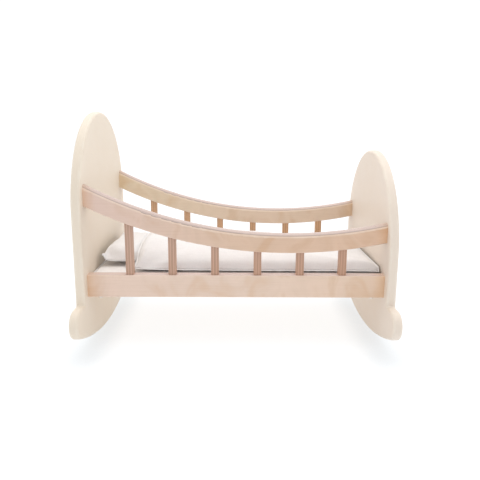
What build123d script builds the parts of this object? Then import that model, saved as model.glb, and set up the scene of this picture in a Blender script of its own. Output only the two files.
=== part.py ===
from build123d import *
import os
from math import hypot, sqrt

# Rocking cradle for dolls, in millimetres.
# +X runs from the head end to the foot end, +Y to the back, +Z up.
# The origin is on the floor, under the middle of the bed.

# End panels: a round-topped board on a rocker foot, one piece each
inside_length = 470
panel_thickness = 15
panel_half_width = 157
head_height = 376
foot_height = 313
rocker_radius = 520
rocker_half_width = 200
rocker_top = 78
notch_radius = 3
panel_edge_radius = 4.5

# Side rails
rail_thickness = 18
rail_outer_y = 139.5
bottom_rail_base = 87
bottom_rail_height = 36
slat_edge_radius = 1.4
top_rail_width = 30
top_rail_low_point = 159.6
top_rail_low_x = 81
top_rail_radius = 726.4
top_rail_edge_radius = 7.5

# Upright slats, spaced evenly between the end panels
slats_per_side = 6
slat_size = 12
slat_corner_radius = 0.8

# Joinery
slat_dowel_diameter = 6
slat_dowel_depth = 9
rail_dowel_diameter = 8
rail_dowel_depth = 12
rail_dowel_panel_depth = 9
bolt_diameter = 6
bolt_head_diameter = 12
bolt_length = 40
bolt_clearance = 0.3
bolt_socket_width = 4
socket_depth = 1.8
barrel_diameter = 10
barrel_length = 22
barrel_proud = 2
barrel_inset = 18
barrel_slot_width = 1.2
barrel_slot_depth = 1
screw_diameter = 5
screw_head_diameter = 10
screw_length = 45
screw_socket_width = 3

# Heights of the fixings in the rail ends
bottom_bolt_z = 100
bottom_dowel_z = 113
top_bolt_drop = 7
top_dowel_rise = 9

# Bed base
cleat_width = 12
cleat_height = 10
cleat_base = 88
board_thickness = 6
board_end_gap = 1
board_side_gap = 0.5
small_screw_diameter = 3
small_screw_head = 6
cleat_screw_length = 20
board_screw_length = 14
cleat_screw_x = (-190, 0, 190)
board_screw_x = (-95, 95)

# Bedding
cloth_gap = 0.3
mattress_end_gap = 2
mattress_top = 121
mattress_edge_radius = 5
pillow_length = 90
pillow_width = 176
pillow_height = 32
pillow_centre_y = 8
duvet_head_x = -166
duvet_half_width = 119.5
duvet_hem_z = 128
duvet_crest_z = 166
duvet_head_z = 164
duvet_foot_z = 134
duvet_crown = 5
pillow_room = 1

# Worked out from the sizes above
end_x = inside_length / 2
rail_centre_y = rail_outer_y - rail_thickness / 2
rail_inner_y = rail_outer_y - rail_thickness
bottom_rail_top = bottom_rail_base + bottom_rail_height
top_rail_centre_z = top_rail_low_point + top_rail_radius
slat_pitch = inside_length / (slats_per_side + 1)
cleat_top = cleat_base + cleat_height
board_top = cleat_top + board_thickness
pillow_centre = (
    -end_x + mattress_end_gap + pillow_length / 2,
    pillow_centre_y,
    mattress_top + cloth_gap + pillow_height / 2,
)
sides = {"front": -1, "back": 1}
ends = {"head": -1, "foot": 1}


def top_rail_underside(x):
    """Height of the top rail's lower edge at x."""
    return top_rail_centre_z - sqrt(top_rail_radius**2 - (x - top_rail_low_x) ** 2)


def rod(start, direction, radius, length):
    """Round rod from a start point along a direction."""
    plane = Plane(origin=start, z_dir=direction)
    return plane * Cylinder(radius, length, align=(Align.CENTER, Align.CENTER, Align.MIN))


def countersunk(start, direction, radius, head_radius, length):
    """Screw whose flat head is flush at the start point."""
    plane = Plane(origin=start, z_dir=direction)
    head_depth = head_radius - radius
    align = (Align.CENTER, Align.CENTER, Align.MIN)
    head = plane * Cone(head_radius, radius, head_depth, align=align)
    return head + rod(start, direction, radius, length)


def end_panel(height, end):
    """Round-topped board whose lower edge spreads into a rocker."""
    tip_b = rocker_half_width**2 + (rocker_radius - rocker_top) ** 2 - rocker_radius**2
    tip_a = 2 * (rocker_radius - rocker_top) - 2 * rocker_half_width + 2 * rocker_radius
    tip_radius = (-tip_a + sqrt(tip_a**2 - 4 * tip_b)) / 2
    tip_y = rocker_half_width - tip_radius
    tip_z = rocker_top - tip_radius
    reach = hypot(tip_y, rocker_radius - tip_z)
    low_y = tip_y + tip_radius * tip_y / reach
    low_z = tip_z - tip_radius * (rocker_radius - tip_z) / reach
    shoulder = height - panel_half_width
    with BuildSketch(Plane.YZ) as outline:
        with BuildLine():
            Line((-tip_y, rocker_top), (tip_y, rocker_top))
            ThreePointArc((tip_y, rocker_top), (rocker_half_width, tip_z), (low_y, low_z))
            ThreePointArc((low_y, low_z), (0, 0), (-low_y, low_z))
            ThreePointArc((-low_y, low_z), (-rocker_half_width, tip_z), (-tip_y, rocker_top))
        make_face()
        with BuildLine():
            Polyline(
                (-panel_half_width, shoulder),
                (-panel_half_width, tip_z),
                (panel_half_width, tip_z),
                (panel_half_width, shoulder),
            )
            ThreePointArc((panel_half_width, shoulder), (0, height), (-panel_half_width, shoulder))
        make_face()
        notches = [
            v
            for v in outline.vertices()
            if abs(abs(v.X) - panel_half_width) < 0.01 and abs(v.Y - rocker_top) < 0.01
        ]
        fillet(notches, notch_radius)
    panel = extrude(outline.sketch, amount=end * panel_thickness)
    panel = Pos(end * end_x, 0, 0) * panel
    return fillet(panel.faces().filter_by(Axis.X).edges(), panel_edge_radius)


def bottom_rail(side):
    """Straight rail with eased long edges."""
    rail = Box(inside_length, rail_thickness, bottom_rail_height)
    rail = Pos(0, side * rail_centre_y, bottom_rail_base + bottom_rail_height / 2) * rail
    return fillet(rail.edges().filter_by(Axis.X), slat_edge_radius)


def top_rail(side):
    """Rail of constant width whose two edges are arcs about one centre."""
    inner_radius = top_rail_radius - top_rail_width
    with BuildSketch(Plane.XZ) as outline:
        with Locations((top_rail_low_x, top_rail_centre_z)):
            Circle(top_rail_radius)
            Circle(inner_radius, mode=Mode.SUBTRACT)
        with Locations((0, top_rail_low_point)):
            Rectangle(
                inside_length,
                head_height,
                align=(Align.CENTER, Align.CENTER),
                mode=Mode.INTERSECT,
            )
    rail = extrude(outline.sketch, amount=rail_thickness / 2, both=True)
    rail = Pos(0, side * rail_centre_y, 0) * rail
    rail = fillet(arcs_of_radius(rail, inner_radius), top_rail_edge_radius)
    return fillet(arcs_of_radius(rail, top_rail_radius), slat_edge_radius)


def arcs_of_radius(part, radius):
    arcs = part.edges().filter_by(GeomType.CIRCLE)
    return [arc for arc in arcs if abs(arc.radius - radius) < 0.01]


def slat(x, side):
    """Square upright whose top follows the underside of the top rail."""
    height = head_height - bottom_rail_top
    bar = Box(slat_size, slat_size, height)
    bar = fillet(bar.edges().filter_by(Axis.Z), slat_corner_radius)
    bar = Pos(x, side * rail_centre_y, bottom_rail_top + height / 2) * bar
    above = rod(
        (top_rail_low_x, side * rail_centre_y - slat_size, top_rail_centre_z),
        (0, 1, 0),
        top_rail_radius,
        2 * slat_size,
    )
    return bar - above


def slat_dowels(side):
    """A dowel at the foot and at the top of every slat on one side."""
    pins = []
    for x in slat_positions():
        for joint_z in (bottom_rail_top, top_rail_underside(x)):
            start = (x, side * rail_centre_y, joint_z - slat_dowel_depth)
            pins.append(rod(start, (0, 0, 1), slat_dowel_diameter / 2, 2 * slat_dowel_depth))
    return pins


def slat_positions():
    return [-end_x + slat_pitch * (i + 1) for i in range(slats_per_side)]


def top_fixing_z(end):
    """Middle of the top rail's end face."""
    low = top_rail_underside(end * end_x)
    inner_radius = top_rail_radius - top_rail_width
    high = top_rail_centre_z - sqrt(inner_radius**2 - (end * end_x - top_rail_low_x) ** 2)
    return (low + high) / 2


def rail_dowels(end):
    """Locating dowels between an end panel and its four rails."""
    pins = []
    start_x = end * (end_x + rail_dowel_panel_depth)
    length = rail_dowel_depth + rail_dowel_panel_depth
    for side in sides.values():
        y = side * rail_centre_y
        for z in (bottom_dowel_z, top_fixing_z(end) + top_dowel_rise / 2):
            pins.append(rod((start_x, y, z), (-end, 0, 0), rail_dowel_diameter / 2, length))
    return pins


def bolt_body(start, end):
    return countersunk(start, (-end, 0, 0), bolt_diameter / 2, bolt_head_diameter / 2, bolt_length)


def screw_body(start, end):
    return countersunk(start, (-end, 0, 0), screw_diameter / 2, screw_head_diameter / 2, screw_length)


def rail_bolts(end):
    """Socket-head countersunk bolts through an end panel into the bottom rails."""
    bolts = []
    for side in sides.values():
        start = (end * (end_x + panel_thickness), side * rail_centre_y, bottom_bolt_z)
        bolts.append(bolt_body(start, end) - hex_socket(start, end, bolt_socket_width))
    return bolts


def hex_socket(start, end, width):
    """Key socket in a fixing's flat head."""
    plane = Plane(origin=start, z_dir=(-end, 0, 0))
    return extrude(plane * RegularPolygon(width / 2, 6, major_radius=False), socket_depth)


def top_screws(end):
    """Wood screws through an end panel into the top rails."""
    screws = []
    for side in sides.values():
        z = top_fixing_z(end) - top_bolt_drop
        start = (end * (end_x + panel_thickness), side * rail_centre_y, z)
        screws.append(screw_body(start, end) - hex_socket(start, end, screw_socket_width))
    return screws


def barrel_nuts(end):
    """Cross nuts for the bolts, entered from under the bottom rails."""
    nuts = []
    for side in sides.values():
        x = end * (end_x - barrel_inset)
        y = side * rail_centre_y
        base = bottom_rail_base - barrel_proud
        nut = rod((x, y, base), (0, 0, 1), barrel_diameter / 2, barrel_length)
        slot = Pos(x, y, base) * Box(barrel_diameter, barrel_slot_width, 2 * barrel_slot_depth)
        nuts.append(nut - slot)
    return nuts


def cleat(side):
    """Strip on the inside of a bottom rail that carries the bed board."""
    strip = Box(inside_length, cleat_width, cleat_height)
    return Pos(0, side * (rail_inner_y - cleat_width / 2), cleat_base + cleat_height / 2) * strip


def cleat_screws(side):
    """Screws from a cleat's inner face into its rail."""
    z = cleat_base + cleat_height / 2
    y = side * (rail_inner_y - cleat_width)
    return [small_screw((x, y, z), (0, side, 0), cleat_screw_length) for x in cleat_screw_x]


def board_screws():
    """Screws down through the bed board into both cleats, between the cleats' own screws."""
    y = rail_inner_y - cleat_width / 2
    places = [(x, side * y, board_top) for side in sides.values() for x in board_screw_x]
    return [small_screw(place, (0, 0, -1), board_screw_length) for place in places]


def small_screw(start, direction, length):
    return countersunk(start, direction, small_screw_diameter / 2, small_screw_head / 2, length)


def bed_board():
    length = inside_length - 2 * board_end_gap
    width = 2 * (rail_inner_y - board_side_gap)
    return Pos(0, 0, cleat_top + board_thickness / 2) * Box(length, width, board_thickness)


def mattress():
    """Thin flat pad that fills the bed."""
    base = board_top + cloth_gap
    height = mattress_top - base
    length = inside_length - 2 * mattress_end_gap
    width = 2 * (rail_inner_y - mattress_end_gap)
    pad = Pos(0, 0, base + height / 2) * Box(length, width, height)
    return fillet(pad.edges(), mattress_edge_radius)


def lens(length, height):
    """Face bounded by two equal arcs."""
    with BuildSketch() as face:
        with BuildLine():
            ThreePointArc((-length / 2, 0), (0, height / 2), (length / 2, 0))
            ThreePointArc((length / 2, 0), (0, -height / 2), (-length / 2, 0))
        make_face()
    return face.sketch


def pillow(allowance=0.0):
    """Cushion that is thick in the middle and thin along its seams."""
    length = pillow_length + 2 * allowance
    width = pillow_width + 2 * allowance
    height = pillow_height + 2 * allowance
    along = Plane(origin=pillow_centre, x_dir=(1, 0, 0), z_dir=(0, -1, 0))
    across = Plane(origin=pillow_centre, x_dir=(0, 1, 0), z_dir=(1, 0, 0))
    crosswise = extrude(along * lens(length, height), width / 2, both=True)
    lengthwise = extrude(across * lens(width, height), length / 2, both=True)
    return crosswise & lengthwise


def duvet():
    """Cover from the pillow to the foot panel, hollowed where it lies over the pillow's edge."""
    foot_x = end_x - mattress_end_gap
    base = mattress_top + cloth_gap
    middle = ((duvet_head_x + foot_x) / 2, (duvet_head_z + duvet_foot_z) / 2 + duvet_crown)
    with BuildSketch(Plane.XZ) as profile:
        with BuildLine():
            ThreePointArc((duvet_head_x, duvet_head_z), middle, (foot_x, duvet_foot_z))
            Polyline(
                (foot_x, duvet_foot_z),
                (foot_x, base),
                (duvet_head_x, base),
                (duvet_head_x, duvet_head_z),
            )
        make_face()
    with BuildSketch(Plane.YZ) as section:
        with BuildLine():
            ThreePointArc(
                (-duvet_half_width, duvet_hem_z), (0, duvet_crest_z), (duvet_half_width, duvet_hem_z)
            )
            Polyline(
                (duvet_half_width, duvet_hem_z),
                (duvet_half_width, base),
                (-duvet_half_width, base),
                (-duvet_half_width, duvet_hem_z),
            )
        make_face()
    lengthwise = extrude(profile.sketch, duvet_half_width, both=True)
    crosswise = extrude(section.sketch, end_x, both=True)
    below_seam = Box(
        pillow_length + 2 * pillow_room,
        pillow_width + 2 * pillow_room,
        pillow_height,
        align=(Align.CENTER, Align.CENTER, Align.MAX),
    )
    cover = lengthwise & crosswise
    return cover - pillow(pillow_room) - Pos(*pillow_centre) * below_seam


def cut(part, tools):
    for tool in tools:
        part = part - tool
    return part


parts = {}

dowels = {name: slat_dowels(side) for name, side in sides.items()}
end_dowels = {name: rail_dowels(end) for name, end in ends.items()}
bolts = {name: rail_bolts(end) for name, end in ends.items()}
screws = {name: top_screws(end) for name, end in ends.items()}
nuts = {name: barrel_nuts(end) for name, end in ends.items()}
strip_screws = {name: cleat_screws(side) for name, side in sides.items()}
deck_screws = board_screws()


def end_holes(end_name):
    """Everything that enters an end panel and the rails behind it."""
    end = ends[end_name]
    tools = list(end_dowels[end_name])
    start_x = end * (end_x + panel_thickness)
    for side in sides.values():
        y = side * rail_centre_y
        low = (start_x, y, bottom_bolt_z)
        high = (start_x, y, top_fixing_z(end) - top_bolt_drop)
        tools.append(bolt_body(low, end))
        tools.append(screw_body(high, end))
    return tools


parts["headboard"] = cut(end_panel(head_height, ends["head"]), end_holes("head"))
parts["footboard"] = cut(end_panel(foot_height, ends["foot"]), end_holes("foot"))

all_end_holes = end_holes("head") + end_holes("foot")
bolt_ways = []
for end in ends.values():
    for side in sides.values():
        start = (end * end_x, side * rail_centre_y, bottom_bolt_z)
        way = bolt_length - panel_thickness + bolt_clearance
        bolt_ways.append(rod(start, (-end, 0, 0), bolt_diameter / 2 + bolt_clearance, way))

for name, side in sides.items():
    nut_holes = [
        rod(
            (end * (end_x - barrel_inset), side * rail_centre_y, bottom_rail_base - barrel_proud),
            (0, 0, 1),
            barrel_diameter / 2,
            barrel_length,
        )
        for end in ends.values()
    ]
    tools = dowels[name] + all_end_holes + bolt_ways + nut_holes + strip_screws[name]
    parts["bottom_rail_" + name] = cut(bottom_rail(side), tools)
    parts["top_rail_" + name] = cut(top_rail(side), dowels[name] + all_end_holes)
    for number, x in enumerate(slat_positions(), 1):
        parts[f"slat_{name}_{number}"] = cut(slat(x, side), dowels[name])
    parts["slat_dowels_" + name] = Compound(dowels[name])
    parts["cleat_" + name] = cut(cleat(side), strip_screws[name] + deck_screws)
    parts["cleat_screws_" + name] = Compound(strip_screws[name])

for name in ends:
    parts["rail_dowels_" + name] = Compound(end_dowels[name])
    parts["rail_bolts_" + name] = Compound(bolts[name])
    parts["barrel_nuts_" + name] = Compound([cut(nut, bolts[name]) for nut in nuts[name]])
    parts["top_rail_screws_" + name] = Compound(screws[name])

parts["bed_board"] = cut(bed_board(), deck_screws)
parts["board_screws"] = Compound(deck_screws)
parts["mattress"] = mattress()
parts["pillow"] = pillow()
parts["duvet"] = duvet()

os.makedirs("parts", exist_ok=True)
for name, shape in parts.items():
    export_step(shape, f"parts/{name}.step")
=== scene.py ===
import math

import bmesh
import bpy
from mathutils import Matrix, Vector, noise
from mathutils.bvhtree import BVHTree


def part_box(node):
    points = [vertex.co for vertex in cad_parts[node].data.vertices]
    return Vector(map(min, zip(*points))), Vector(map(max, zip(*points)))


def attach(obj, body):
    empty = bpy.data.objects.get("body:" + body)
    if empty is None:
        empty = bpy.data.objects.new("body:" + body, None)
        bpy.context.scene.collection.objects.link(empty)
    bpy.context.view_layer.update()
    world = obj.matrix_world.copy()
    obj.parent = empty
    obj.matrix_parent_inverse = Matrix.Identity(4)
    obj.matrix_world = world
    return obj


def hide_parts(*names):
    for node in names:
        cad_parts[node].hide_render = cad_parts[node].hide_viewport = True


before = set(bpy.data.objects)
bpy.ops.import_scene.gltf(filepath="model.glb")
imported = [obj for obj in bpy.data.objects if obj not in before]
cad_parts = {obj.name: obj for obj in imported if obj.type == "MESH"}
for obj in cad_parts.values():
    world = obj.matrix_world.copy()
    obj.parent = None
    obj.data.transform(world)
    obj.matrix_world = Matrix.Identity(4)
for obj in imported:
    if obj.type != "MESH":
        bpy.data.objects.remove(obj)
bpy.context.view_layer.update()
scene = bpy.context.scene

# ---------------------------------------------------------------- measures, in metres

UP = Vector((0, 0, 1))


def nodes_named(part):
    """Names of the CAD nodes that have this part in them."""
    return [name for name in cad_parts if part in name]


panel_low, panel_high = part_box("footboard")
rail_low, rail_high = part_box("bottom_rail_back")
slat_low, slat_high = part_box("slat_back_1")
PANEL_MIDDLE_X = (panel_low[0] + panel_high[0]) / 2
RAIL_OUTER_Y = rail_high[1]
RAIL_THICKNESS = rail_high[1] - rail_low[1]
INSIDE_LENGTH = rail_high[0] - rail_low[0]
SLAT_PITCH = INSIDE_LENGTH / (len(nodes_named("slat_back_")) + 1)
SLAT_HALF_WIDTH = (slat_high[0] - slat_low[0]) / 2
BOARD_TOP_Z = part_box("bed_board")[1][2]

# Thickness of the face veneer and of each ply under it
RAIL_PLIES = (0.0011, 0.0014)
SLAT_PLIES = (0.0010, 0.0019)
BOARD_PLIES = (0.0012, 0.0013)

# Where the painted shadow on the floor is deepest, beside the inner face of each rocker
SHADE_MIDDLE_X = 0.236

# ---------------------------------------------------------------- camera, light and floor

CAMERA_PLACE = Vector((0.0001, -0.9494, 0.3533))
CAMERA_DOWN = 0.2102
CAMERA_ROLL = 0.0054
CAMERA_YAW = 0.0069
CAMERA_LENS = 39.99
SENSOR_WIDTH = 36.0
LAMP_PLACE = (0.2, 0.5, 5.0)
LAMP_TARGET = (0, 0, 0.12)
LAMP_WIDTH = 8.0
LAMP_POWER = 215
LAMP_COLOUR = (1.0, 0.99, 0.97)
WHITE = (1.0, 1.0, 1.0, 1.0)


def make_camera():
    """Camera looking along +Y, a little downwards."""
    data = bpy.data.cameras.new("camera")
    data.lens = CAMERA_LENS
    data.sensor_width = SENSOR_WIDTH
    data.clip_start = 0.01
    camera = bpy.data.objects.new("camera", data)
    scene.collection.objects.link(camera)
    forward = Vector((
        math.sin(CAMERA_YAW) * math.cos(CAMERA_DOWN),
        math.cos(CAMERA_YAW) * math.cos(CAMERA_DOWN),
        -math.sin(CAMERA_DOWN),
    ))
    right = Vector((math.cos(CAMERA_YAW), -math.sin(CAMERA_YAW), 0.0))
    up = right.cross(forward)
    rolled_right = right * math.cos(CAMERA_ROLL) + up * math.sin(CAMERA_ROLL)
    rolled_up = up * math.cos(CAMERA_ROLL) - right * math.sin(CAMERA_ROLL)
    turn = Matrix((rolled_right, rolled_up, -forward)).transposed()
    camera.matrix_world = Matrix.Translation(CAMERA_PLACE) @ turn.to_4x4()
    scene.camera = camera


def make_lamp():
    """One wide, soft lamp high above the cradle."""
    data = bpy.data.lights.new("overhead", "AREA")
    data.shape = "RECTANGLE"
    data.size = LAMP_WIDTH
    data.size_y = LAMP_WIDTH
    data.energy = LAMP_POWER
    data.color = LAMP_COLOUR
    lamp = bpy.data.objects.new("overhead", data)
    scene.collection.objects.link(lamp)
    lamp.location = LAMP_PLACE
    aim = Vector(LAMP_TARGET) - Vector(LAMP_PLACE)
    lamp.rotation_euler = aim.to_track_quat("-Z", "Y").to_euler()


def make_world():
    """Light from all round, dimmer from the -Y side. The backdrop itself stays plain white."""
    world = bpy.data.worlds.new("studio")
    scene.world = world
    world.use_nodes = True
    nodes, links = world.node_tree.nodes, world.node_tree.links
    direction = nodes.new("ShaderNodeTexCoord")
    split = nodes.new("ShaderNodeSeparateXYZ")
    ramp = nodes.new("ShaderNodeValToRGB")
    links.new(direction.outputs["Generated"], split.inputs["Vector"])
    links.new(split.outputs["Y"], ramp.inputs["Fac"])
    ramp.color_ramp.elements[0].color = (0.60, 0.60, 0.60, 1.0)
    ramp.color_ramp.elements[1].color = WHITE
    ramp.color_ramp.elements[1].position = 0.20
    seen = nodes.new("ShaderNodeLightPath")
    backdrop = nodes.new("ShaderNodeMix")
    backdrop.data_type = "RGBA"
    links.new(seen.outputs["Is Camera Ray"], backdrop.inputs["Factor"])
    light, plain = [socket for socket in backdrop.inputs if socket.type == "RGBA"]
    links.new(ramp.outputs["Color"], light)
    plain.default_value = WHITE
    mixed = [socket for socket in backdrop.outputs if socket.type == "RGBA"][0]
    links.new(mixed, nodes["Background"].inputs["Color"])
    nodes["Background"].inputs["Strength"].default_value = 1.10
    scene.view_settings.view_transform = "Standard"


def make_floor():
    """Wide white floor under the rockers."""
    bpy.ops.mesh.primitive_plane_add(size=60, location=(0, 0, 0))
    floor = bpy.context.object
    floor.name = "floor"
    floor.data.materials.append(floor_paper())


# ---------------------------------------------------------------- node helpers

class Shader:
    """A node material under construction, with short ways to add its nodes."""

    def __init__(self, name):
        self.material = bpy.data.materials.new(name)
        self.material.use_nodes = True
        self.tree = self.material.node_tree
        self.nodes = self.tree.nodes
        self.links = self.tree.links
        self.body = self.nodes["Principled BSDF"]

    def node(self, kind, **settings):
        made = self.nodes.new(kind)
        for key, value in settings.items():
            setattr(made, key, value)
        return made

    def link(self, source, target):
        self.links.new(source, target)

    def put(self, node, socket, value):
        """Link a socket to an output, or set it to a value."""
        if hasattr(value, "is_output"):
            self.link(value, node.inputs[socket])
        else:
            node.inputs[socket].default_value = value

    def place(self, scale=(1, 1, 1), turn=(0, 0, 0), move=(0, 0, 0)):
        """Object coordinates, stretched and turned."""
        coordinates = self.node("ShaderNodeTexCoord")
        mapping = self.node("ShaderNodeMapping")
        self.link(coordinates.outputs["Object"], mapping.inputs["Vector"])
        mapping.inputs["Scale"].default_value = scale
        mapping.inputs["Rotation"].default_value = turn
        mapping.inputs["Location"].default_value = move
        return mapping.outputs["Vector"]

    def axis(self, name):
        """One of the object coordinates, in metres."""
        coordinates = self.node("ShaderNodeTexCoord")
        split = self.node("ShaderNodeSeparateXYZ")
        self.link(coordinates.outputs["Object"], split.inputs["Vector"])
        return split.outputs[name]

    def noise(self, where, scale, detail=2.0, roughness=0.5, distortion=0.0):
        """Grey noise from 0 to 1."""
        made = self.node("ShaderNodeTexNoise")
        self.put(made, "Vector", where)
        made.inputs["Scale"].default_value = scale
        made.inputs["Detail"].default_value = detail
        made.inputs["Roughness"].default_value = roughness
        made.inputs["Distortion"].default_value = distortion
        return made.outputs["Fac"]

    def math(self, operation, a, b=0.0):
        made = self.node("ShaderNodeMath", operation=operation)
        for i, value in enumerate((a, b)):
            self.put(made, i, value)
        return made.outputs[0]

    def ramp(self, factor, *stops, smooth=False):
        """Colour ramp of (position, colour or grey) stops."""
        made = self.node("ShaderNodeValToRGB")
        made.color_ramp.interpolation = "EASE" if smooth else "LINEAR"
        elements = made.color_ramp.elements
        while len(elements) < len(stops):
            elements.new(0.5)
        for element, (position, colour) in zip(elements, stops):
            element.position = position
            element.color = shade(colour)
        self.put(made, "Fac", factor)
        return made.outputs["Color"]

    def mix(self, factor, a, b, blend="MIX"):
        """Blend of two colours, each an output or a plain colour."""
        made = self.node("ShaderNodeMix", data_type="RGBA", blend_type=blend)
        self.put(made, "Factor", factor)
        for socket, value in (("A", a), ("B", b)):
            target = [s for s in made.inputs if s.name == socket and s.type == "RGBA"][0]
            if hasattr(value, "is_output"):
                self.link(value, target)
            else:
                target.default_value = shade(value)
        return [s for s in made.outputs if s.type == "RGBA"][0]

    def bump(self, height, strength, distance, under=None):
        """Bump over the plain surface, or over the bump under it."""
        made = self.node("ShaderNodeBump")
        made.inputs["Strength"].default_value = strength
        made.inputs["Distance"].default_value = distance
        self.put(made, "Height", height)
        if under is not None:
            self.link(under, made.inputs["Normal"])
        return made.outputs["Normal"]


def shade(colour):
    """RGBA from a grey value or an RGB colour."""
    if isinstance(colour, (int, float)):
        return (colour, colour, colour, 1.0)
    return (*colour, 1.0)[:4]


def floor_paper():
    """Bright studio paper that gives off a little light of its own, with a painted shadow beside the
    rockers, where it gives off less and looks a little bluer.
    """
    s = Shader("white_floor")
    grain = s.noise(s.place(), 300.0, 3.0)
    s.put(s.body, "Base Color", s.ramp(grain, (0.3, (0.235, 0.25, 0.265)), (0.7, (0.255, 0.27, 0.285))))
    s.put(s.body, "Roughness", 0.9)
    s.body.inputs["Specular IOR Level"].default_value = 0.0
    # Painted shadow: a mask along each rocker's inner face, near the cradle, dims the floor's own light
    # there and tints it a little blue.
    off_rocker = s.math("ABSOLUTE", s.math("SUBTRACT", s.math("ABSOLUTE", s.axis("X")), SHADE_MIDDLE_X))
    beside = s.ramp(off_rocker, (0.004, 1.0), (0.055, 0.0), smooth=True)
    within = s.ramp(s.math("ABSOLUTE", s.axis("Y")), (0.17, 1.0), (0.28, 0.0), smooth=True)
    glow_with_painted_shadow = s.mix(s.math("MULTIPLY", beside, within), (1.0, 1.0, 1.0), (0.82, 0.835, 0.845))
    s.put(s.body, "Emission Color", glow_with_painted_shadow)
    s.body.inputs["Emission Strength"].default_value = 0.83
    return s.material


def painted_board(name, pale, deep, middle_x):
    """Matt cream paint: roller stipple, faint clouds, and the rounded edges paler, partly wear and
    partly a painted highlight.
    """
    s = Shader(name)
    where = s.place()
    colour = s.ramp(s.noise(where, 7.0, 3.0), (0.3, deep), (0.7, pale))
    # The rounded edges are mixed in patches towards a paler cream: partly wear of the paint, partly a
    # painted highlight where the rounding catches the light.
    offset = s.math("ABSOLUTE", s.math("SUBTRACT", s.axis("X"), middle_x))
    near_edge = s.math("MULTIPLY", offset, 100.0)
    rounded = s.ramp(near_edge, (0.25, 0.0), (0.45, 1.0), (0.71, 1.0), (0.74, 0.0))
    patchy = s.ramp(s.noise(where, 55.0, 4.0, 0.7), (0.42, 0.0), (0.62, 1.0))
    rub_and_painted_highlight = s.math("MULTIPLY", s.math("MULTIPLY", rounded, patchy), 0.45)
    colour = s.mix(rub_and_painted_highlight, colour, (0.88, 0.81, 0.71))
    s.put(s.body, "Base Color", colour)
    s.put(s.body, "Roughness", s.ramp(s.noise(where, 40.0, 3.0), (0.3, 0.46), (0.7, 0.58)))
    stipple = s.bump(s.noise(where, 1300.0, 2.0), 0.25, 0.00012)
    s.put(s.body, "Normal", s.bump(s.noise(where, 160.0, 3.0), 0.12, 0.0004, under=stipple))
    s.body.inputs["Specular IOR Level"].default_value = 0.35
    return s.material


def plies(s, depth, first, pitch, face, pale, cross, glue):
    """Plywood at a depth behind its face: long plies, cross plies and the dark glue lines between."""
    turn = s.math("DIVIDE", s.math("SUBTRACT", depth, first), pitch)
    inside = s.math("GREATER_THAN", turn, 0.0)
    cycle = s.math("FRACT", s.math("MULTIPLY", turn, 0.5))
    layer = s.ramp(
        cycle,
        (0.0, glue), (0.12, glue),
        (0.17, cross), (0.46, cross),
        (0.51, glue),
        (0.58, pale), (0.97, pale),
    )
    return s.mix(inside, face, layer)


def along_length(s):
    """0 at the head end of the rails, 1 at the foot end."""
    return s.math("ADD", s.math("MULTIPLY", s.axis("X"), 2.0), 0.5)


def birch_rail(name, left, middle, right, edge_tone, seed):
    """Varnished birch plywood: flame figure on the face, and its plies on the rounded edges."""
    s = Shader(name)
    depth = s.math("SUBTRACT", RAIL_OUTER_Y, s.math("ABSOLUTE", s.axis("Y")))
    half = s.math("MINIMUM", depth, s.math("SUBTRACT", RAIL_THICKNESS, depth))
    tone = s.ramp(along_length(s), (0.05, left), (0.5, middle), (0.95, right))
    flame = s.noise(s.place((20, 3, 16), (0, 0.75, 0), (seed, 0, 0)), 1.0, 3.0, 0.5, 0.9)
    figure = s.ramp(
        flame,
        (0.32, (0.95, 0.89, 0.82)),
        (0.45, 1.0),
        (0.57, (1.04, 1.04, 1.05)),
        (0.70, (0.96, 0.92, 0.87)),
    )
    fibre = s.noise(s.place((14, 500, 900), (0, 0, 0), (seed, 0, 0)), 1.0, 4.0, 0.6)
    fibres = s.ramp(fibre, (0.34, (0.95, 0.93, 0.91)), (0.5, 1.0), (0.68, (1.02, 1.02, 1.02)))
    face = s.mix(1.0, tone, figure, "MULTIPLY")
    pale = Vector((0.72, 0.57, 0.515)) * edge_tone
    cross = Vector((0.63, 0.495, 0.45)) * edge_tone
    glue = Vector((0.44, 0.345, 0.305)) * edge_tone
    colour = plies(s, half, *RAIL_PLIES, face, pale, cross, glue)
    colour = s.mix(0.7, colour, fibres, "MULTIPLY")
    # Painted shade and bounce light: the rails turn darker and warmer over their last two centimetres
    # beside the end panels.
    end = s.ramp(s.math("ABSOLUTE", s.axis("X")), (0.216, 0.0), (0.234, 1.0))
    colour = s.mix(end, colour, s.mix(1.0, colour, (0.98, 0.90, 0.78), "MULTIPLY"))
    # Painted highlight, partly wear: the rounded edges are mixed in patches towards a paler tone,
    # standing in for the light the rounding catches.
    edge = s.ramp(s.math("MULTIPLY", half, 500.0), (0.02, 0.0), (0.12, 1.0), (0.46, 1.0), (0.52, 0.0))
    rub_and_highlight_patches = s.ramp(s.noise(s.place(), 40.0, 4.0, 0.7), (0.40, 0.0), (0.60, 1.0))
    rub_and_painted_highlight = s.math("MULTIPLY", edge, s.math("ADD", s.math("MULTIPLY", rub_and_highlight_patches, 0.30), 0.40))
    colour = s.mix(rub_and_painted_highlight, colour, (0.88, 0.73, 0.61))
    s.put(s.body, "Base Color", colour)
    s.put(s.body, "Roughness", s.ramp(fibre, (0.35, 0.50), (0.65, 0.38)))
    s.body.inputs["Specular IOR Level"].default_value = 0.4
    s.body.inputs["Coat Weight"].default_value = 0.12
    s.body.inputs["Coat Roughness"].default_value = 0.35
    s.put(s.body, "Normal", s.bump(fibre, 0.22, 0.00025))
    return s.material


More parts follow.
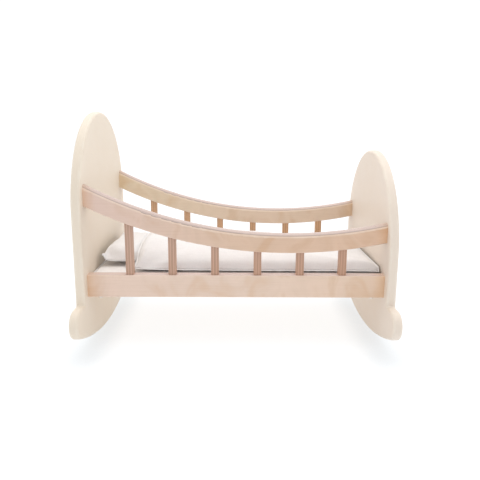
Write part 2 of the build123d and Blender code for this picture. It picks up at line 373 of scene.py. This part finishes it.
def birch_slat(name, left, right):
    """Square bar sawn from plywood: its plies run up the front, and its sides are face veneer."""
    s = Shader(name)
    steps = s.math("DIVIDE", s.math("ADD", s.axis("X"), INSIDE_LENGTH / 2), SLAT_PITCH)
    part = s.math("SUBTRACT", s.math("FRACT", s.math("ADD", steps, 0.5)), 0.5)
    offset = s.math("MULTIPLY", part, SLAT_PITCH)
    depth = s.math("SUBTRACT", SLAT_HALF_WIDTH, s.math("ABSOLUTE", offset))
    pale, cross, glue = (1.04, 1.04, 1.06), (0.88, 0.85, 0.85), (0.74, 0.70, 0.69)
    layers = plies(s, depth, *SLAT_PLIES, 1.0, pale, cross, glue)
    grain = s.noise(s.place((700, 700, 16)), 1.0, 4.0, 0.6)
    tone = s.ramp(along_length(s), (0.1, left), (0.9, right))
    # Darker and warmer towards the lower ends of the slats.
    foot = s.ramp(s.axis("Z"), (0.12, (0.97, 0.93, 0.88)), (0.17, 1.0))
    streaks = s.ramp(grain, (0.32, (0.86, 0.84, 0.82)), (0.66, (1.05, 1.05, 1.05)))
    colour = s.mix(1.0, s.mix(1.0, tone, foot, "MULTIPLY"), layers, "MULTIPLY")
    colour = s.mix(0.9, colour, streaks, "MULTIPLY")
    s.put(s.body, "Base Color", colour)
    s.put(s.body, "Roughness", s.ramp(grain, (0.35, 0.58), (0.65, 0.44)))
    s.body.inputs["Specular IOR Level"].default_value = 0.35
    s.put(s.body, "Normal", s.bump(grain, 0.3, 0.0002))
    return s.material


def base_plywood():
    """Raw plywood of the bed board and its cleats, with its plies at the sawn edges."""
    s = Shader("base_plywood")
    depth = s.math("SUBTRACT", BOARD_TOP_Z, s.axis("Z"))
    layers = plies(s, depth, *BOARD_PLIES, 1.0, 1.0, (0.86, 0.82, 0.79), (0.62, 0.56, 0.52))
    rings = s.noise(s.place((3, 22, 22)), 1.0, 4.0, 0.55, 1.2)
    veneer = s.ramp(
        rings,
        (0.30, (0.60, 0.44, 0.30)),
        (0.5, (0.72, 0.56, 0.41)),
        (0.7, (0.66, 0.50, 0.36)),
    )
    fibre = s.noise(s.place((12, 700, 700)), 1.0, 4.0, 0.6)
    colour = s.mix(1.0, veneer, layers, "MULTIPLY")
    colour = s.mix(0.8, colour, s.ramp(fibre, (0.34, (0.86, 0.83, 0.8)), (0.66, 1.0)), "MULTIPLY")
    s.put(s.body, "Base Color", colour)
    s.put(s.body, "Roughness", s.ramp(fibre, (0.3, 0.75), (0.7, 0.6)))
    s.put(s.body, "Normal", s.bump(fibre, 0.35, 0.0003))
    return s.material


def beech_dowel():
    """Turned beech with the short dark flecks of its rays."""
    s = Shader("beech_dowel")
    grain = s.noise(s.place((60, 60, 18)), 1.0, 5.0, 0.6, 0.4)
    flecks = s.noise(s.place((900, 900, 160)), 1.0, 2.0, 0.5)
    wood = s.ramp(grain, (0.35, (0.52, 0.35, 0.22)), (0.65, (0.64, 0.46, 0.31)))
    fleck = s.ramp(flecks, (0.60, 1.0), (0.70, (0.78, 0.72, 0.66)))
    s.put(s.body, "Base Color", s.mix(0.9, wood, fleck, "MULTIPLY"))
    s.put(s.body, "Roughness", s.ramp(grain, (0.3, 0.62), (0.7, 0.5)))
    s.put(s.body, "Normal", s.bump(flecks, 0.2, 0.0002))
    return s.material


def bright_zinc():
    """Zinc plating with soft clouds and fine turning scratches."""
    s = Shader("bright_zinc")
    cloud = s.noise(s.place(), 220.0, 3.0)
    scratch = s.noise(s.place((3000, 300, 300)), 1.0, 2.0)
    s.put(s.body, "Base Color", s.ramp(cloud, (0.3, (0.66, 0.66, 0.64)), (0.7, (0.80, 0.80, 0.79))))
    s.put(s.body, "Roughness", s.ramp(cloud, (0.3, 0.20), (0.7, 0.36)))
    s.put(s.body, "Normal", s.bump(scratch, 0.1, 0.0001))
    s.body.inputs["Metallic"].default_value = 1.0
    return s.material


def cotton(name, colour, deep, thread, sheen):
    """Plain-woven cotton: crossing threads, slubs, soft creases and a light sheen."""
    s = Shader(name)
    rate = 2 * math.pi / thread
    across = s.math("ADD", s.axis("X"), s.math("MULTIPLY", s.axis("Z"), 0.6))
    along = s.math("ADD", s.axis("Y"), s.math("MULTIPLY", s.axis("Z"), 0.8))
    warp = s.math("SINE", s.math("MULTIPLY", across, rate))
    weft = s.math("SINE", s.math("MULTIPLY", along, rate))
    weave = s.math("ADD", s.math("MULTIPLY", s.math("MULTIPLY", warp, weft), 0.5), 0.5)
    slub = s.noise(s.place((500, 60, 300)), 1.0, 3.0, 0.6)
    slubs = s.noise(s.place((60, 500, 300)), 1.0, 3.0, 0.6)
    threads = s.math("MULTIPLY", s.math("ADD", slub, slubs), 0.5)
    tone = s.ramp(s.noise(s.place(), 9.0, 3.0), (0.32, deep), (0.68, colour))
    uneven = s.ramp(threads, (0.36, (0.95, 0.95, 0.95)), (0.6, (1.02, 1.02, 1.02)))
    woven_tone = s.ramp(weave, (0.0, (0.93, 0.92, 0.92)), (0.7, 1.0))
    tone = s.mix(0.7, tone, uneven, "MULTIPLY")
    tone = s.mix(0.5, tone, woven_tone, "MULTIPLY")
    s.put(s.body, "Base Color", tone)
    s.put(s.body, "Roughness", s.ramp(threads, (0.35, 0.95), (0.65, 0.82)))
    s.body.inputs["Specular IOR Level"].default_value = 0.2
    s.body.inputs["Sheen Weight"].default_value = sheen
    s.body.inputs["Sheen Roughness"].default_value = 0.45
    woven = s.bump(weave, 0.35, 0.00012)
    slubby = s.bump(threads, 0.35, 0.0003, under=woven)
    creased = s.noise(s.place((1.0, 0.7, 1.0)), 46.0, 4.0, 0.55, 0.5)
    s.put(s.body, "Normal", s.bump(creased, 0.30, 0.0012, under=slubby))
    return s.material


def thread_cotton():
    """Twisted sewing thread, darker than the cloth: partly painted shade for the seam's crease."""
    s = Shader("sewing_thread")
    twist = s.noise(s.place((1500, 1500, 1500)), 1.0, 2.0)
    s.put(s.body, "Base Color", s.ramp(twist, (0.35, (0.66, 0.62, 0.59)), (0.65, (0.80, 0.77, 0.74))))
    s.put(s.body, "Roughness", 0.7)
    s.put(s.body, "Normal", s.bump(twist, 0.4, 0.0001))
    s.body.inputs["Sheen Weight"].default_value = 0.2
    return s.material


def dress(nodes, material):
    """Give the named CAD nodes their material."""
    for name in nodes:
        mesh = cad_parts[name].data
        mesh.materials.clear()
        mesh.materials.append(material)


# ---------------------------------------------------------------- cloth helpers

CLOTH_MASS = 0.3
CLOTH_STRETCH = 15.0
CLOTH_BEND = 0.4
SECTION_POINTS = 10


def mesh_tree(mesh):
    """Search tree over a mesh's faces."""
    return BVHTree.FromPolygons([v.co for v in mesh.vertices], [p.vertices for p in mesh.polygons])


def solid_heights(name):
    """Function that gives a CAD node's height at a place, seen from above or from below."""
    tree = mesh_tree(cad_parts[name].data)

    def height(x, y, above):
        start = Vector((x, y, 0.6 if above else -0.1))
        return tree.ray_cast(start, Vector((0, 0, -1 if above else 1)))[0].z

    return height


def new_piece(name, mesh, material, body):
    """Smooth piece that rides on a body and takes its material by slot."""
    piece = bpy.data.objects.new(name, mesh)
    scene.collection.objects.link(piece)
    mesh.materials.append(material)
    for face in mesh.polygons:
        face.use_smooth = True
    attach(piece, body)
    return piece


def rim_order(cells):
    """The grid's rim, once round."""
    wide, deep = cells
    loop = [(i, 0) for i in range(wide)]
    loop += [(wide, j) for j in range(deep)]
    loop += [(i, deep) for i in range(wide, 0, -1)]
    loop += [(0, j) for j in range(deep, 0, -1)]
    return loop


def sewn_case(name, cells, point):
    """Two sheets on one grid, sewn together round the rim. point gives (i, j, side) its place."""
    wide, deep = cells
    bm = bmesh.new()
    rim = {place: bm.verts.new(point(*place, 0)) for place in rim_order(cells)}
    for side in (1, -1):
        sheet = dict(rim)
        for i in range(1, wide):
            for j in range(1, deep):
                sheet[i, j] = bm.verts.new(point(i, j, side))
        for i in range(wide):
            for j in range(deep):
                corners = [sheet[i, j], sheet[i + 1, j], sheet[i + 1, j + 1], sheet[i, j + 1]]
                bm.faces.new(corners if side > 0 else corners[::-1])
    crease = bm.edges.layers.float.new("crease_edge")
    sewn = set(rim.values())
    for edge in bm.edges:
        if edge.verts[0] in sewn and edge.verts[1] in sewn:
            edge[crease] = 1.0
    mesh = bpy.data.meshes.new(name)
    bm.to_mesh(mesh)
    bm.free()
    return mesh


def inflate(mesh, frames, pressure, reach):
    """Swell a case under inner pressure, as cloth. No point goes further than about reach."""
    piece = bpy.data.objects.new("cloth", mesh)
    scene.collection.objects.link(piece)
    start = [v.co.copy() for v in mesh.vertices]
    cloth = piece.modifiers.new("Cloth", "CLOTH")
    cloth.settings.quality = 5
    cloth.settings.mass = CLOTH_MASS
    cloth.settings.use_pressure = True
    cloth.settings.uniform_pressure_force = pressure
    cloth.settings.tension_stiffness = CLOTH_STRETCH
    cloth.settings.compression_stiffness = CLOTH_STRETCH
    cloth.settings.bending_stiffness = CLOTH_BEND
    cloth.settings.effector_weights.gravity = 0
    cloth.collision_settings.use_collision = False
    cloth.point_cache.frame_start = 1
    cloth.point_cache.frame_end = frames
    for number in range(1, frames + 1):
        scene.frame_set(number)
    swollen = piece.evaluated_get(bpy.context.evaluated_depsgraph_get()).to_mesh()
    places = [v.co.copy() for v in swollen.vertices]
    bpy.data.objects.remove(piece)
    scene.frame_set(1)
    for vertex, before, after in zip(mesh.vertices, start, places):
        move = after - before
        if move.length > 1e-9:
            vertex.co = before + move * (reach * math.tanh(move.length / reach) / move.length)


def refine(mesh, name):
    """One subdivision, applied."""
    piece = bpy.data.objects.new("refined", mesh)
    scene.collection.objects.link(piece)
    subdivision = piece.modifiers.new("Subdivision", "SUBSURF")
    subdivision.levels = 1
    graph = bpy.context.evaluated_depsgraph_get()
    finer = bpy.data.meshes.new_from_object(piece.evaluated_get(graph))
    finer.name = name
    bpy.data.objects.remove(piece)
    return finer


def seam_path(mesh):
    """The sewn rim of a refined case, once round: its creased edges in order."""
    crease = mesh.attributes["crease_edge"].data
    near = {}
    for edge in mesh.edges:
        if crease[edge.index].value > 0.5:
            a, b = edge.vertices
            near.setdefault(a, []).append(b)
            near.setdefault(b, []).append(a)
    start = min(near)
    order = [start, min(near[start])]
    while True:
        following = [n for n in near[order[-1]] if n != order[-2]][0]
        if following == start:
            break
        order.append(following)
    return [mesh.vertices[index].co.copy() for index in order]


def path_frames(path):
    """For each point of a closed path: the point, its direction and the way out of the loop."""
    middle = sum(path, Vector()) / len(path)
    made = []
    for k, place in enumerate(path):
        direction = (path[(k + 1) % len(path)] - path[k - 1]).normalized()
        out = direction.cross(UP).normalized()
        if out.dot(place - middle) < 0:
            out = -out
        made.append((place, direction, out))
    return made


def made_mesh(name, bm):
    """Mesh from a bmesh whose faces are first turned outwards."""
    bmesh.ops.recalc_face_normals(bm, faces=bm.faces)
    mesh = bpy.data.meshes.new(name)
    bm.to_mesh(mesh)
    bm.free()
    return mesh


def band(name, path, shift, half_width, half_height, droop=0.0):
    """Closed strip of oval section round a seam, which hangs by droop at its outer edge."""
    bm = bmesh.new()
    rings = []
    for place, _, out in path_frames(path):
        centre = place + out * shift
        ring = []
        for k in range(SECTION_POINTS):
            turn = 2 * math.pi * k / SECTION_POINTS
            side = math.cos(turn) * half_width
            fall = droop * (side + half_width) / (2 * half_width)
            rise = math.sin(turn) * half_height - fall
            ring.append(bm.verts.new(centre + out * side + UP * rise))
        rings.append(ring)
    for k, ring in enumerate(rings):
        after = rings[(k + 1) % len(rings)]
        for n in range(SECTION_POINTS):
            m = (n + 1) % SECTION_POINTS
            bm.faces.new((ring[n], ring[m], after[m], after[n]))
    return made_mesh(name, bm)


def stitch_line(name, path, surface, inset, pitch, long, thick):
    """Row of short spindle-shaped threads beside a seam, laid on the surface."""
    tree = mesh_tree(surface)
    bm = bmesh.new()
    frames = path_frames(path)
    walked = 0.0
    for k, (place, direction, out) in enumerate(frames):
        walked += (frames[(k + 1) % len(frames)][0] - place).length
        if walked < pitch:
            continue
        walked -= pitch
        aim = place - out * inset + UP * (inset * 0.5)
        spot, normal, _, _ = tree.find_nearest(aim)
        side = direction.cross(normal).normalized()
        ends = [bm.verts.new(spot + direction * long * end / 2) for end in (-1, 1)]
        waist = []
        for a, b in ((1, 0), (0, 1), (-1, 0), (0, -1)):
            waist.append(bm.verts.new(spot + side * thick * a / 2 + normal * thick * (b + 0.3) / 2))
        for n in range(4):
            bm.faces.new((ends[0], waist[n], waist[(n + 1) % 4]))
            bm.faces.new((ends[1], waist[(n + 1) % 4], waist[n]))
    return made_mesh(name, bm)


def between(value, least, most):
    """The value, kept within its limits."""
    return min(max(value, least), most)


def blend_between(a, b, t):
    """a at t = 0, b at t = 1."""
    return a + (b - a) * t


# ---------------------------------------------------------------- pillow

def make_pillow(cloth, thread):
    """Sewn cushion with pointed corners, lying on the mattress and under the duvet's head edge."""
    low_corner, high_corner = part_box("pillow")
    height = solid_heights("pillow")
    middle = [(a + b) / 2 for a, b in zip(low_corner, high_corner)]
    seam_room = 0.0022
    half_x = (high_corner[0] - low_corner[0]) / 2 - seam_room
    half_y = (high_corner[1] - low_corner[1]) / 2 - seam_room
    half_z = (high_corner[2] - low_corner[2]) / 2
    cells = (26, 48)
    fullness = 0.62
    thinnest = 0.0006

    def point(i, j, side):
        u = 2 * i / cells[0] - 1
        v = 2 * j / cells[1] - 1
        off_panel = 0.0045 * max(-u, 0.0) ** 2
        x = middle[0] + half_x * u * (1 - 0.020 * (1 - v * v)) + off_panel
        y = middle[1] + half_y * v * (1 - 0.016 * (1 - u * u))
        surface = (1 - abs(u) ** 3.4) ** 0.75 * (1 - abs(v) ** 6.0) ** 0.75 * half_z
        if side < 0:
            surface = (1 - u * u) * (1 - abs(v) ** 2.2) * half_z
        uneven = 1 + 0.25 * noise.noise(Vector((x * 40, y * 40, side * 3.0)))
        # The seam stands up at the head corners and sinks onto the mattress beyond them.
        slump = 0.0096 * (1 - math.exp(-3.6 * (1 + u))) - 0.0028
        droop = v ** 4 * slump + 0.0006 * math.sin(y * 60)
        return x, y, middle[2] - droop + side * max(surface * fullness * uneven, thinnest)

    mesh = sewn_case("pillow_case", cells, point)
    inflate(mesh, 16, 4.0, 0.0095)
    top = high_corner[2] - 0.0002
    rest = low_corner[2] + 0.0004
    crest = max(v.co.z for v in mesh.vertices) - middle[2]
    depth = middle[2] - min(v.co.z for v in mesh.vertices)
    duvet_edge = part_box("duvet")[0][0]
    margin = 0.012
    free_rise, covered_rise = 0.0070, 0.0003
    for vertex in mesh.vertices:
        x, y, z = vertex.co
        if z > middle[2]:
            below_crest = max(1 - (z - middle[2]) / crest, 0.0)
            z = middle[2] + (top - middle[2]) * (1 - below_crest ** 2.1)
            under = between((x - duvet_edge + margin) / margin, 0.0, 1.0)
            z = min(z, height(x, y, True) + blend_between(free_rise, covered_rise, under))
        else:
            z = middle[2] + (z - middle[2]) * 1.15 * (middle[2] - rest) / depth
            z = max(z, rest)
        vertex.co = (x, y, z)
    mesh = refine(mesh, "pillow_cushion")
    path = seam_path(mesh)
    cushion = new_piece("pillow_cushion", mesh, cloth, "pillow_body")
    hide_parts("pillow")
    seam = band("pillow_seam", path, 0.0008, 0.0012, 0.0004)
    new_piece("pillow_seam", seam, cloth, "pillow_body")
    row = stitch_line("pillow_stitches", path, mesh, 0.0016, 0.0024, 0.0017, 0.0004)
    new_piece("pillow_stitches", row, thread, "pillow_body")


# ---------------------------------------------------------------- duvet

# Start, end, half width and rise of each fold; a negative rise is a hollow
DUVET_FOLDS = (
    ((-0.163, -0.112), (-0.105, -0.010), 0.012, 0.0030),
    ((-0.148, -0.114), (-0.060, -0.050), 0.010, -0.0026),
    ((-0.118, -0.114), (-0.075, -0.080), 0.008, 0.0018),
    ((-0.090, 0.020), (0.030, 0.060), 0.014, -0.0018),
    ((0.000, -0.030), (0.110, -0.005), 0.016, -0.0016),
    ((0.020, -0.114), (0.060, -0.060), 0.012, -0.0016),
    ((0.228, -0.112), (0.160, -0.065), 0.010, 0.0022),
    ((0.226, -0.096), (0.190, -0.030), 0.009, -0.0020),
    ((-0.155, 0.108), (-0.090, 0.040), 0.012, 0.0028),
    ((-0.140, 0.070), (-0.080, 0.005), 0.010, -0.0022),
    ((0.110, 0.112), (0.060, 0.050), 0.012, -0.0020),
    ((0.222, 0.105), (0.150, 0.070), 0.011, 0.0022),
)


def fold_height(x, y):
    """Soft ridges and hollows, each along a line between two places."""
    total = 0.0
    place = Vector((x, y))
    for start, end, width, rise in DUVET_FOLDS:
        a, b = Vector(start), Vector(end)
        along = (place - a).dot(b - a) / (b - a).length_squared
        nearest = a + (b - a) * between(along, 0.0, 1.0)
        fade = math.exp(-((place - nearest).length / width) ** 2)
        total += rise * fade * between(1.15 - along, 0.0, 1.0)
    return total


def make_duvet(cloth, thread):
    """Filled cover whose head edge lies over the pillow, with a stitched flat hem."""
    low_corner, high_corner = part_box("duvet")
    height = solid_heights("duvet")
    inset = 0.0032
    cells = (84, 52)
    rim_cells = 2.2
    head_x = low_corner[0] + 0.0006
    wide = high_corner[0] - 0.0014 - head_x
    deep = high_corner[1] - low_corner[1] - 2 * inset

    def spot(i, j):
        u = 2 * i / cells[0] - 1
        v = 2 * j / cells[1] - 1
        x = head_x + wide * (0.5 + 0.5 * u * (1 - 0.004 * (1 - v * v)))
        y = low_corner[1] + inset + deep * (0.5 + 0.5 * v * (1 - 0.010 * (1 - u ** 4)))
        return x, y

    # The underside, eased a little where it steps down from the pillow to the mattress
    under = {}
    for i in range(cells[0] + 1):
        for j in range(cells[1] + 1):
            under[i, j] = height(*spot(i, j), False)
    around = [(a, b) for a in (-1, 0, 1) for b in (-1, 0, 1)]
    for _ in range(3):
        eased = {}
        for (i, j), here in under.items():
            ring = [under.get((i + a, j + b), here) for a, b in around]
            eased[i, j] = max(here, sum(ring) / 9)
        under = eased

    def point(i, j, side):
        x, y = spot(i, j)
        upper = height(x, y, True)
        lower = under[i, j] + 0.0009
        edge_i = min(i, cells[0] - i)
        edge_j = min(j, cells[1] - j)
        rim = min(edge_i / rim_cells, edge_j / rim_cells, 1.0)
        ripple = math.sin(x * 330 + 2.0 * math.sin(x * 41)) + 0.6 * math.sin(x * 560 + 1.3)
        if edge_i < edge_j:
            ripple = math.sin(y * 330 + 2.0 * math.sin(y * 53))
        head_side = i < cells[0] / 2
        hem = lower + (0.42 if head_side else 0.70) * (upper - lower)
        if edge_j <= edge_i:
            hem = lower + 0.0014 + 0.0002 * ripple + 0.0024 * math.exp(-i / 7.0)
        if side == 0:
            return x, y, hem
        gather = math.exp(-min(edge_i, edge_j) / 2.0) * 0.0006 * ripple
        if side < 0:
            return x, y, blend_between(hem, lower, min(rim * 1.3, 1.0))
        slack = 0.0026 + 0.0024 * noise.noise(Vector((x * 15, y * 15, 1.7)))
        puffed = upper - slack + fold_height(x, y) + gather
        return x, y, max(blend_between(hem, puffed, math.sin(rim * math.pi / 2)), lower + 0.001)

    mesh = sewn_case("duvet_case", cells, point)
    inflate(mesh, 12, 3.0, 0.0028)
    side_room = high_corner[1] - inset + 0.0006
    foot_room = high_corner[0] - 0.0012
    for vertex in mesh.vertices:
        x, y, z = vertex.co
        x = min(x, foot_room)
        y = between(y, -side_room, side_room)
        vertex.co = (x, y, max(z, low_corner[2] + 0.0004))
    mesh = refine(mesh, "duvet_cover")
    path = seam_path(mesh)
    cover = new_piece("duvet_cover", mesh, cloth, "duvet_body")
    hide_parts("duvet")
    hem = band("duvet_hem", path, 0.0012, 0.0018, 0.0004, 0.0003)
    new_piece("duvet_hem", hem, cloth, "duvet_body")
    row = stitch_line("duvet_stitches", path, mesh, 0.0005, 0.0026, 0.0019, 0.0005)
    new_piece("duvet_stitches", row, thread, "duvet_body")


# ---------------------------------------------------------------- mattress

def make_mattress(cloth, thread):
    """Thin foam mattress in a sewn cover: soft edges, piping above and below, slight waves."""
    low_corner, high_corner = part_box("mattress")
    centre = (Vector(low_corner) + Vector(high_corner)) / 2
    room = Vector((0.0006, 0.0010, 0.0012))
    size = Vector(high_corner) - Vector(low_corner) - room
    corner_radius, edge_radius = 0.007, 0.0022
    bm = bmesh.new()
    bmesh.ops.create_cube(bm, size=1.0)
    for vertex in bm.verts:
        vertex.co = centre + Vector([a * b for a, b in zip(vertex.co, size)])
    upright = [e for e in bm.edges if abs(e.verts[0].co.z - e.verts[1].co.z) > 0.001]
    bmesh.ops.bevel(bm, geom=upright, offset=corner_radius, segments=4, affect="EDGES")
    edges = list(bm.edges)
    bmesh.ops.bevel(bm, geom=edges, offset=edge_radius, segments=2, affect="EDGES", clamp_overlap=True)
    rough = bpy.data.meshes.new("mattress_rough")
    bm.to_mesh(rough)
    bm.free()
    shaped = bpy.data.objects.new("mattress_rough", rough)
    scene.collection.objects.link(shaped)
    remesh = shaped.modifiers.new("Remesh", "REMESH")
    remesh.mode = "VOXEL"
    remesh.voxel_size = 0.004
    graph = bpy.context.evaluated_depsgraph_get()
    mesh = bpy.data.meshes.new_from_object(shaped.evaluated_get(graph))
    bpy.data.objects.remove(shaped)
    inflate(mesh, 8, 3.0, 0.0012)
    for vertex in mesh.vertices:
        x, y, z = vertex.co
        x = between(x, low_corner[0] - 0.0004, high_corner[0] + 0.0004)
        y = between(y, low_corner[1], high_corner[1])
        wave = 0.0004 * noise.noise(Vector((x * 30, y * 30, 0.4)))
        z = between(z + wave, low_corner[2] + 0.0002, high_corner[2] - 0.0002)
        vertex.co = (x, y, z)
    mesh = refine(mesh, "mattress_pad")
    pad = new_piece("mattress_pad", mesh, cloth, "mattress_body")
    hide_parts("mattress")
    seam_inset = 0.0030
    for level, z in (("upper", high_corner[2] - seam_inset), ("lower", low_corner[2] + seam_inset)):
        path = rounded_loop(low_corner, high_corner, 0.0004, corner_radius, z)
        piping = band(f"mattress_piping_{level}", path, 0.0, 0.0008, 0.0008)
        new_piece(f"mattress_piping_{level}", piping, cloth, "mattress_body")
        row = stitch_line(f"mattress_stitches_{level}", path, mesh, 0.0024, 0.0030, 0.0020, 0.0004)
        new_piece(f"mattress_stitches_{level}", row, thread, "mattress_body")


def rounded_loop(low_corner, high_corner, inset, radius, z):
    """Closed rectangle with round corners, in small steps."""
    x0, y0 = low_corner[0] + inset + radius, low_corner[1] + inset + radius
    x1, y1 = high_corner[0] - inset - radius, high_corner[1] - inset - radius
    corner_steps = 8
    step_length = 0.003
    corners = ((x1, y0, -90), (x1, y1, 0), (x0, y1, 90), (x0, y0, 180))

    def on_corner(x, y, degrees):
        turn = math.radians(degrees)
        return Vector((x + radius * math.cos(turn), y + radius * math.sin(turn), z))

    path = []
    for k, (x, y, start) in enumerate(corners):
        for step in range(corner_steps + 1):
            path.append(on_corner(x, y, start + step * 90 / corner_steps))
        begin = path[-1]
        end = on_corner(*corners[(k + 1) % 4][:2], start + 90)
        pieces = int((end - begin).length / step_length)
        path += [begin.lerp(end, n / pieces) for n in range(1, pieces)]
    return path


# ---------------------------------------------------------------- the cradle

make_camera()
make_world()
make_lamp()
make_floor()

# The two panels are one paint. The head panel's colours are a touch paler than the foot's: painted
# light, as the light falls a little more on the head panel's inner face.
PANELS = (
    ("headboard", "cream_paint_head", (0.83, 0.735, 0.62), (0.81, 0.71, 0.59), -PANEL_MIDDLE_X),
    ("footboard", "cream_paint_foot", (0.82, 0.72, 0.625), (0.80, 0.70, 0.60), PANEL_MIDDLE_X),
)
# The rails' tones hold painted light and shade: the top front rail is darker and the lower front rail
# paler, standing in for the floor light that reaches the lower rail, and the top back rail is paler to
# make up for the shade inside the cradle.
RAILS = (
    (
        "top_rail_front", "birch_top_front",
        (0.725, 0.55, 0.47), (0.695, 0.50, 0.37), (0.705, 0.49, 0.355), 0.94, 0.0,
    ),
    (
        "top_rail_back", "birch_top_back",
        (0.80, 0.68, 0.52), (0.71, 0.56, 0.43), (0.725, 0.57, 0.44), 0.95, 3.0,
    ),
    (
        "bottom_rail_front", "birch_low_front",
        (0.78, 0.60, 0.495), (0.775, 0.605, 0.495), (0.76, 0.57, 0.435), 1.12, 6.0,
    ),
    (
        "bottom_rail_back", "birch_low_back",
        (0.74, 0.57, 0.45), (0.73, 0.56, 0.44), (0.72, 0.54, 0.41), 1.05, 9.0,
    ),
)
SLATS = (
    ("front", (0.61, 0.415, 0.32), (0.58, 0.36, 0.255)),
    ("back", (0.68, 0.44, 0.27), (0.68, 0.43, 0.25)),
)
for node, *look in PANELS:
    dress([node], painted_board(*look))
for node, *look in RAILS:
    dress([node], birch_rail(*look))
for side, *look in SLATS:
    dress(nodes_named(f"slat_{side}_"), birch_slat(f"birch_slat_{side}", *look))
dress(["bed_board", "cleat_front", "cleat_back"], base_plywood())
dress(nodes_named("dowels"), beech_dowel())
dress(nodes_named("bolts") + nodes_named("nuts") + nodes_named("screws"), bright_zinc())

bed_linen = cotton("bedding_cotton", (0.865, 0.855, 0.86), (0.84, 0.825, 0.825), 0.0007, 0.22)
ticking = cotton("mattress_cotton", (0.94, 0.91, 0.895), (0.92, 0.89, 0.87), 0.0009, 0.15)
sewing_thread = thread_cotton()
make_mattress(ticking, sewing_thread)
make_pillow(bed_linen, sewing_thread)
make_duvet(bed_linen, sewing_thread)
